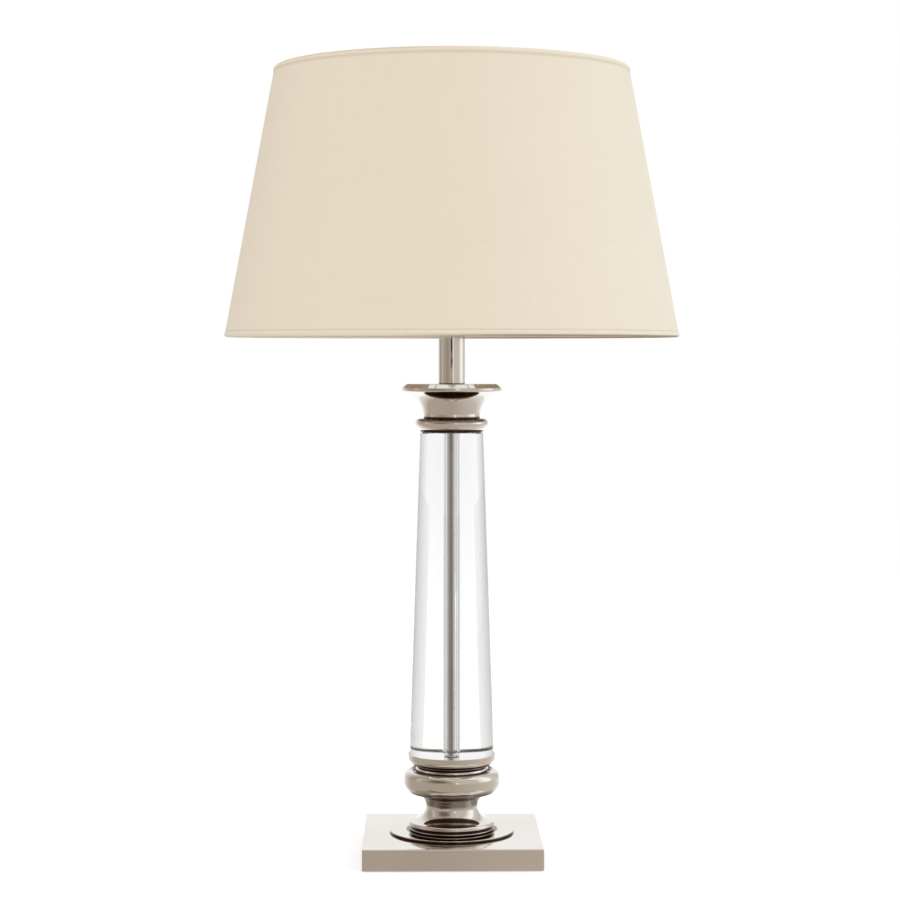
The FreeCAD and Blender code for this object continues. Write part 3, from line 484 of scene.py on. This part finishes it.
def gridFaces(rows, columns, closeRows, closeColumns):
    # quads between neighbours of a rows by columns grid of points, numbered row by row
    r = np.arange(rows if closeRows else rows - 1)
    c = np.arange(columns if closeColumns else columns - 1)
    row, column = (a.ravel() for a in np.meshgrid(r, c, indexing="ij"))
    here, below = row * columns, (row + 1) % rows * columns
    beside = (column + 1) % columns
    return np.stack([here + column, here + beside, below + beside, below + column], 1)


def addPiece(name, points, faces, material, body, replaced=(), cornerUV=None, paintedShade=None):
    mesh = bpy.data.meshes.new(name)
    mesh.from_pydata(points.reshape(-1, 3).tolist(), [], faces)
    if cornerUV is not None:
        layer = mesh.uv_layers.new(name="metres")
        layer.data.foreach_set("uv", cornerUV.ravel())
    if paintedShade is not None:
        mesh.attributes.new("paintedShade", "FLOAT", "POINT").data.foreach_set("value", paintedShade)
    work = bmesh.new()
    work.from_mesh(mesh)
    bmesh.ops.remove_doubles(work, verts=work.verts, dist=meshValues["merge"])
    bmesh.ops.recalc_face_normals(work, faces=work.faces)
    work.to_mesh(mesh)
    work.free()
    mesh.polygons.foreach_set("use_smooth", np.ones(len(mesh.polygons), bool))
    mesh.set_sharp_from_angle(angle=math.radians(meshValues["sharpTurn"]))
    mesh.materials.append(material)
    made = bpy.data.objects.new(name, mesh)
    scene.collection.objects.link(made)
    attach(made, body)
    if replaced:
        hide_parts(*replaced)
    return made


def turnedPoints(profile, around):
    # profile point (r, z) at turn t: (r cos t, r sin t, z)
    turn = np.linspace(0, math.tau, around, endpoint=False)
    return np.stack([profile[:, 0:1] * np.cos(turn), profile[:, 0:1] * np.sin(turn),
                     np.repeat(profile[:, 1:2], around, 1)], 2)


def fineProfile(profile, longest):
    # each run longer than the given length is cut into equal shorter ones
    pieces = []
    for start, end in zip(profile, np.roll(profile, -1, 0)):
        count = max(1, math.ceil(math.dist(start, end) / longest))
        pieces.append(start + (end - start) * np.linspace(0, 1, count, endpoint=False)[:, None])
    return np.concatenate(pieces)


def paintedShadeShare(profile, spots):
    # the greatest of amount * smoothRise(2 - 2 * distance / reach) over the spots, which are radius, level,
    # reach and amount
    r, z, reach, amount = np.array(spots).T[:, :, None]
    distance = np.hypot(profile[:, 0] - r * millimetre, profile[:, 1] - z * millimetre) / (reach * millimetre)
    return (smoothRise(2 - 2 * distance) * amount).max(0)


def ringPiece(name, profile, around, material, body, replaced=(), paintedShade=None):
    faces = gridFaces(len(profile), around, True, True).tolist()
    return addPiece(name, turnedPoints(profile, around), faces, material, body, replaced,
                    paintedShade=paintedShade)


def turnedPiece(name, node, steps, material, body="stand", around=meshValues["around"],
                soft=meshValues["soft"], spots=()):
    profile = closedProfile(steps, soft)
    paintedShade = None
    # spots of painted shade and dark reflection, carried as an amount on each point
    if spots:
        profile = fineProfile(profile, paintedShadeSpots["longest"])
        paintedShade = np.repeat(paintedShadeShare(profile, spots), around)
    return ringPiece(name, profile, around, material, body, (node,), paintedShade)


# ---- polished nickel turnings: closed outlines, radius and level in millimetres ----
nickelTurnings = {
    "baseDisc": ("base_disc", [
        (4.2, 21.5), (61.85, 21.5), (62.2, 21.85), (62.2, 23.2), ((61.99, 23.69), (61.5, 23.9)), (4.2, 23.9)]),
    "stepDisc": ("step_disc", [
        (4.2, 23.9), (41.7, 23.9), ((42.4, 25.05), (41.7, 26.2)), (40.1, 26.2), (40.1, 27.5), (4.2, 27.5)]),
    "pedestalTurning": ("pedestal", [
        (17, 27.5), (40.1, 27.5), (43, 29.1), ((43.4, 30.3), (42, 32.9)), ((29.36, 38.93), (26, 46)),
        ((29.44, 56.63), (38, 61.1)), (41.8, 61.5), ((43, 62.7), (43.6, 63.7)), ((46.8, 67.45), (48.2, 72.8)),
        (48.2, 76.5), ((45.86, 82.16), (40.2, 84.5)), ((38.1, 83.28), (37.2, 81)), (4.2, 81), (4.2, 75),
        (17, 75)]),
    "baseBead": ("base_bead", [
        (4.2, 81), (34.8, 81), ((36.4, 84.45), (34.8, 87.3)), (34.2, 87.3), (34.2, 87.9), (4.2, 87.9)]),
    "glassCup": ("glass_cup", [
        (4.2, 87.9), (35.4, 87.9), ((40.9, 91.09), (44, 95.5)), (44, 99.8), ((43.85, 100.15), (43.5, 100.3)),
        (42.5, 100.3), (42.5, 97.7), (4.2, 97.7)]),
    "centreTube": ("centre_tube", [(4.2, 97.7), (5, 97.7), (5, 421.7), (4.2, 421.7)]),
    "capitalBead": ("capital_bead", [
        (4.2, 421.7), (30.9, 421.7), (31.3, 422.1), (31.3, 423.5), ((33.85, 425.53), (35.9, 428.3)),
        ((36.4, 430.41), (33, 434.5)), (32.6, 434.9), (4.2, 434.9)]),
    "capitalTurning": ("capital", [
        (18, 434.9), (28.1, 434.9), (28.1, 439.5), ((33.23, 451.6), (46.1, 461.3)), (47.9, 461.7),
        ((49.4, 462.2), (49.9, 463.9)), (49.9, 465.3), (45.5, 469.15), (44.5, 469.4), (13.3, 469.4),
        (13.3, 467.9), (4.2, 467.9), (4.2, 461.4), (18, 461.4)]),
    "neckTube": ("neck_tube", [(12, 467.9), (13.25, 467.9), (13.25, 531.3), (12, 531.3)]),
}

# painted shade and dark reflections in the grooves, hollows and on the base disc's edge, given spot by spot:
# radius, level and reach in millimetres and amount of each spot. longest is the longest run, in metres, between
# the points that carry it
paintedShadeSpots = {
    "longest": 0.0008,
    "baseDisc": ((62.4, 21.6, 2.4, 1.0), (42.5, 23.9, 4.0, 1.0)),
    "stepDisc": ((42.1, 23.9, 2.0, 1.0), (40.5, 26.9, 2.6, 1.0)),
    "pedestalTurning": ((41.0, 27.3, 3.2, 1.0), (35.0, 59.0, 9.0, 0.98), (27.5, 53.5, 6.5, 0.6),
                        (43.0, 63.2, 5.0, 0.75), (38.6, 83.6, 3.0, 1.0)),
    "baseBead": ((35.2, 81.6, 3.0, 1.0), (34.2, 88.0, 1.3, 1.0)),
    "glassCup": ((34.6, 87.9, 5.5, 1.0), (38.5, 90.0, 6.0, 0.55)),
    "capitalBead": ((30.5, 434.9, 7.2, 1.0), (31.3, 422.6, 1.6, 1.0)),
    "capitalTurning": ((28.1, 434.9, 2.6, 1.0), (13.3, 469.2, 1.5, 1.0)),
    "neckTube": ((13.25, 468.6, 1.8, 1.0),),
}
for name, (node, steps) in nickelTurnings.items():
    turnedPiece(name, node, steps, materials["polishedNickel"],
                spots=paintedShadeSpots.get(name, ()))

# ---- crystal column, a hair clear of both gaskets ----
columnValues = {"around": 256, "soft": 0.15, "steps": [
    (6.6, 98.54), (41.6, 98.54), (42.2, 99.1), (31.3, 420.3),
    (30.7, 420.86), (6.6, 420.86), (6, 420.3), (6, 99.1)]}
turnedPiece("crystalColumn", "crystal_column", columnValues["steps"], materials["crystal"],
            around=columnValues["around"], soft=columnValues["soft"])

# ---- bulb ----
bulbValues = {"around": 128, "steps": [
    (12.7, 584.3), (13.6, 584.3), ((17.42, 603.08), (23.64, 617.83)), ((30, 636.3), (0, 666.3)), (0, 665.4),
    ((29.1, 636.3), (22.93, 618.38)), ((16.52, 603.08), (12.7, 584.3))]}
turnedPiece("bulbGlass", "bulb_glass", bulbValues["steps"], materials["opalGlass"], body="bulb",
            around=bulbValues["around"])
print("turned pieces made")


# ---- shade ----
# millimetres, and degrees for turns
shadeValues = {
    "lowRadius": 224.3, "lowLevel": 518.25,            # outer face of the cloth
    "highRadius": 175.3, "highLevel": 777.35,
    "clothThickness": 0.4, "linerThickness": 0.55,
    "linerGap": 0.03, "linerOver": 0.5, "linerSoft": 0.1, "linerAround": 360,
    "rollRadius": 2.95, "lowRollRadius": 222.05, "highRollRadius": 173.05,
    "rollTrim": 0.1, "rollAround": 720, "rollSection": 28, "rollTilt": 6,
    "seamTurn": 20.0,                                  # seams behind the widest points
    "lap": 2.1, "lapLift": 0.42, "lapSlope": 1.6,      # the front panel laps over the back one, and rises there
    "ripple": 0.10, "rippleFade": 0.06, "pucker": 0.07,
    "perDegree": 1.6, "rows": 60,                      # points of a panel
    # painted shade on the panels where they meet the hem rolls: amount, start and reach in millimetres
    "panelShade": 0.22, "panelShadeFrom": 2.2, "panelShadeReach": 2.6,   # on the panels beside the hems: amount, start and reach
    # painted shade on the hem rolls: a dark brown line under the lower roll and a lighter one over the upper,
    # fading towards one side
    "rollShadeFrom": 0.3, "rollShadeRise": 0.4,                  # least sine of the turn round the roll, and its rise
    "rollShadeHand": (0.5, 1.5),                            # how the glue fades from one hand to the other
    "rollShadeLow": 0.85, "rollShadeHigh": 0.35,                 # brown edge under the lower hem and over the upper one
    "seeds": {"cloth": 4, "low": 11, "high": 12},
}
# waves round the shade, the most that they lean, and what their sum is divided by
waveValues = {"counts": (3, 5, 8, 13, 21, 34), "tilt": 14, "scale": 4.4}
shadeFall = shadeValues["highLevel"] - shadeValues["lowLevel"]
shadeTaper = shadeValues["lowRadius"] - shadeValues["highRadius"]
shadeFlat = math.hypot(shadeTaper, shadeFall)


def waves(turn, level, seed):  # a sum of sines of turn and level with fixed random phases, about -1 to 1
    random = np.random.default_rng(seed)
    total = 0
    for count in waveValues["counts"]:
        phase, tilt = random.uniform(0, math.tau), random.uniform(-waveValues["tilt"], waveValues["tilt"])
        total = total + np.sin(count * turn + tilt * level + phase) / waveValues["scale"]
    return total


def clothPanel(name, node, start, end, lifted):
    # outer face: the radius falls in a straight line from the lower to the upper hem, plus ripple, plus the
    # lift at lapped edges; point (r cos t, r sin t, z). The inner face is clothThickness behind it, and the
    # border closes both
    columns, rows = int((end - start) * shadeValues["perDegree"]), shadeValues["rows"]
    turn = np.radians(np.linspace(start, end, columns))[None, :]
    share = (1 - np.cos(np.linspace(0, math.pi, rows)))[:, None] / 2  # rows closer together beside the hems
    level = np.repeat(shadeValues["lowLevel"] + shadeFall * share, columns, 1) * millimetre
    fade = smoothRise(np.minimum(share, 1 - share) / shadeValues["rippleFade"])
    ripple = shadeValues["ripple"] * waves(turn, share, shadeValues["seeds"]["cloth"]) * fade
    radius = shadeValues["lowRadius"] - shadeTaper * share + ripple
    if lifted:
        edge = np.minimum(np.degrees(turn) - start, end - np.degrees(turn))
        rise = smoothRise(shadeValues["lapSlope"] - edge / shadeValues["lap"])
        radius = radius + shadeValues["lapLift"] * rise
    layers = [(radius - inset) * millimetre for inset in (0, shadeValues["clothThickness"])]
    points = np.stack([np.stack([r * np.cos(turn), r * np.sin(turn), level], 2) for r in layers])
    grid, behind = gridFaces(rows, columns, False, False), rows * columns
    index = np.arange(behind).reshape(rows, columns)
    border = np.concatenate([index[0, :], index[1:, -1], index[-1, -2::-1], index[-2:0:-1, 0]])
    after = np.roll(border, -1)
    edges = np.stack([border, border + behind, after + behind, after], 1)
    faces = np.concatenate([grid, grid[:, ::-1] + behind, edges])
    middle = (shadeValues["lowRadius"] + shadeValues["highRadius"]) / 2 * millimetre
    flat = np.stack(np.broadcast_arrays(turn * middle, share * shadeFlat * millimetre), 2).reshape(-1, 2)
    # painted shade: the panel darkens towards the hem shade colour near each hem roll
    beside = (np.minimum(share, 1 - share) * shadeFlat - shadeValues["panelShadeFrom"]) / shadeValues["panelShadeReach"]
    panelShade = np.repeat(shadeValues["panelShade"] * smoothRise(1 - beside), columns, 1).ravel()
    return addPiece(name, points, faces.tolist(), materials["shadeCloth"], "shade", (node,),
                    cornerUV=np.concatenate([flat, flat])[faces], paintedShade=np.concatenate([panelShade, panelShade]))


def hemRoll(name, ringRadius, level, seed, rollShade, side):
    # a tube round the wire: ring radius R, tube radius a with small puckers,
    # point ((R + a cos s) cos t, (R + a cos s) sin t, z + a sin s)
    around, section = shadeValues["rollAround"], shadeValues["rollSection"]
    turn = np.linspace(0, math.tau, around, endpoint=False)[None, :]
    s = np.linspace(0, math.tau, section, endpoint=False)[:, None]
    pucker = waves(turn, s / shadeValues["rollTilt"], seed) * shadeValues["pucker"]
    tube = shadeValues["rollRadius"] - shadeValues["rollTrim"] + pucker
    reach = (ringRadius + tube * np.cos(s)) * millimetre
    height = (level + tube * np.sin(s)) * millimetre
    points = np.stack([reach * np.cos(turn), reach * np.sin(turn), height], 2)
    u = np.linspace(0, math.tau, around + 1)[None, :] * ringRadius * millimetre
    v = np.linspace(0, math.tau, section + 1)[:, None] * shadeValues["rollRadius"] * millimetre
    flat = np.stack(np.broadcast_arrays(u, v), 2).reshape(-1, 2)
    # painted shade lies on the side of the tube that faces away from the panel, and fades to one hand with the
    # turn's cosine
    away = smoothRise((side * np.sin(s) - shadeValues["rollShadeFrom"]) / shadeValues["rollShadeRise"])
    even, lean = shadeValues["rollShadeHand"]
    paintedShade = (rollShade * away * smoothRise(even - lean * side * np.cos(turn))).ravel()
    cornerUV = flat[gridFaces(section + 1, around + 1, False, False)]
    return addPiece(name, points, gridFaces(section, around, True, True).tolist(), materials["shadeCloth"],
                    "shade", cornerUV=cornerUV, paintedShade=paintedShade)


seeds = shadeValues["seeds"]
lowerHem = hemRoll("lowerHem", shadeValues["lowRollRadius"], shadeValues["lowLevel"], seeds["low"],
                   shadeValues["rollShadeLow"], -1)
upperHem = hemRoll("upperHem", shadeValues["highRollRadius"], shadeValues["highLevel"], seeds["high"],
                   shadeValues["rollShadeHigh"], 1)
seam, lap = shadeValues["seamTurn"], shadeValues["lap"]
frontPanel = clothPanel("frontPanel", "shade_front_panel", -180 - seam - lap / 2, seam + lap / 2, True)
backPanel = clothPanel("backPanel", "shade_back_panel", seam - lap / 2, 180 - seam + lap / 2, False)

linerOuter = [shadeValues[end] - shadeValues["clothThickness"] - shadeValues["linerGap"]
              for end in ("lowRadius", "highRadius")]
linerInner = [radius - shadeValues["linerThickness"] for radius in linerOuter]
linerLevels = (shadeValues["lowLevel"] - shadeValues["linerOver"],
               shadeValues["highLevel"] + shadeValues["linerOver"])
linerSteps = [(linerInner[0], linerLevels[0]), (linerOuter[0], linerLevels[0]),
              (linerOuter[1], linerLevels[1]), (linerInner[1], linerLevels[1])]
ringPiece("shadeLiner", closedProfile(linerSteps, shadeValues["linerSoft"]), shadeValues["linerAround"],
          materials["shadedLiner"], "shade")

print("shade made")


# ---- felt under the base ----
# half its side, thickness and corner radius in millimetres; loops are shares of the side and of the thickness
feltValues = {
    "half": 85.1, "thickness": 2.0, "corner": 1.5, "cornerPoints": 9,
    "loops": ((0.02, 0), (0.4, 0), (0.8, 0), (0.985, 0), (1.0, 0.25),
              (1.0, 0.75), (0.985, 1), (0.8, 1), (0.4, 1), (0.02, 1)),
}


def roundedSquare(halfSide, corner, perCorner):
    # four quarter circles of radius corner about the inset corners, joined by straight sides
    angle = np.linspace(0, math.pi / 2, perCorner)
    quarter = np.stack([np.cos(angle), np.sin(angle)], 1) * corner + (halfSide - corner)
    quarterTurn = np.array([[0, -1], [1, 0]])
    return np.concatenate([quarter @ np.linalg.matrix_power(quarterTurn, k).T for k in range(4)])


def feltPad():
    # loops of a rounded square: from the middle out over the underside, up the edge and back over the top
    square = roundedSquare(feltValues["half"], feltValues["corner"], feltValues["cornerPoints"])
    count, loops = len(square), feltValues["loops"]
    points = np.array([np.c_[square * share, np.full(count, height * feltValues["thickness"])]
                       for share, height in loops])
    faces = gridFaces(len(loops), count, False, True).tolist()
    faces += [list(range(count))[::-1], list(range((len(loops) - 1) * count, len(loops) * count))]
    return addPiece("feltPad", points * millimetre, faces, materials["felt"], "stand", ("felt_pad",))


felt = feltPad()
print("felt made")


# ---- finishes for the nodes that stay ----
nodeFinishes = {
    "polishedNickel": ("plinth", "neck_bush", "holder_cap"),
    "clearSilicone": ("lower_gasket", "upper_gasket"),
    "castIron": ("base_weight",),
    "zincSteel": ("bottom_cover", "cover_screws", "threaded_rod", "base_washer", "base_nut", "holder_nut"),
    "blackRubber": ("cable_grommet",),
    "blackPhenolic": ("holder_shell", "shade_ring", "switch_block", "switch_bar"),
    "whitePorcelain": ("holder_insulator",),
    "contactBrass": ("screw_shell", "centre_contact"),
    "whiteEnamel": ("shade_hub", "shade_arms", "shade_lower_wire", "shade_top_wire"),
    "bulbMetal": ("bulb_cap",),
}
for finish, nodeNames in nodeFinishes.items():
    for nodeName in nodeNames:
        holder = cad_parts[nodeName]
        if not holder.material_slots:
            holder.data.materials.append(materials[finish])
        for slot in holder.material_slots:
            slot.material = materials[finish]
print("node finishes set")
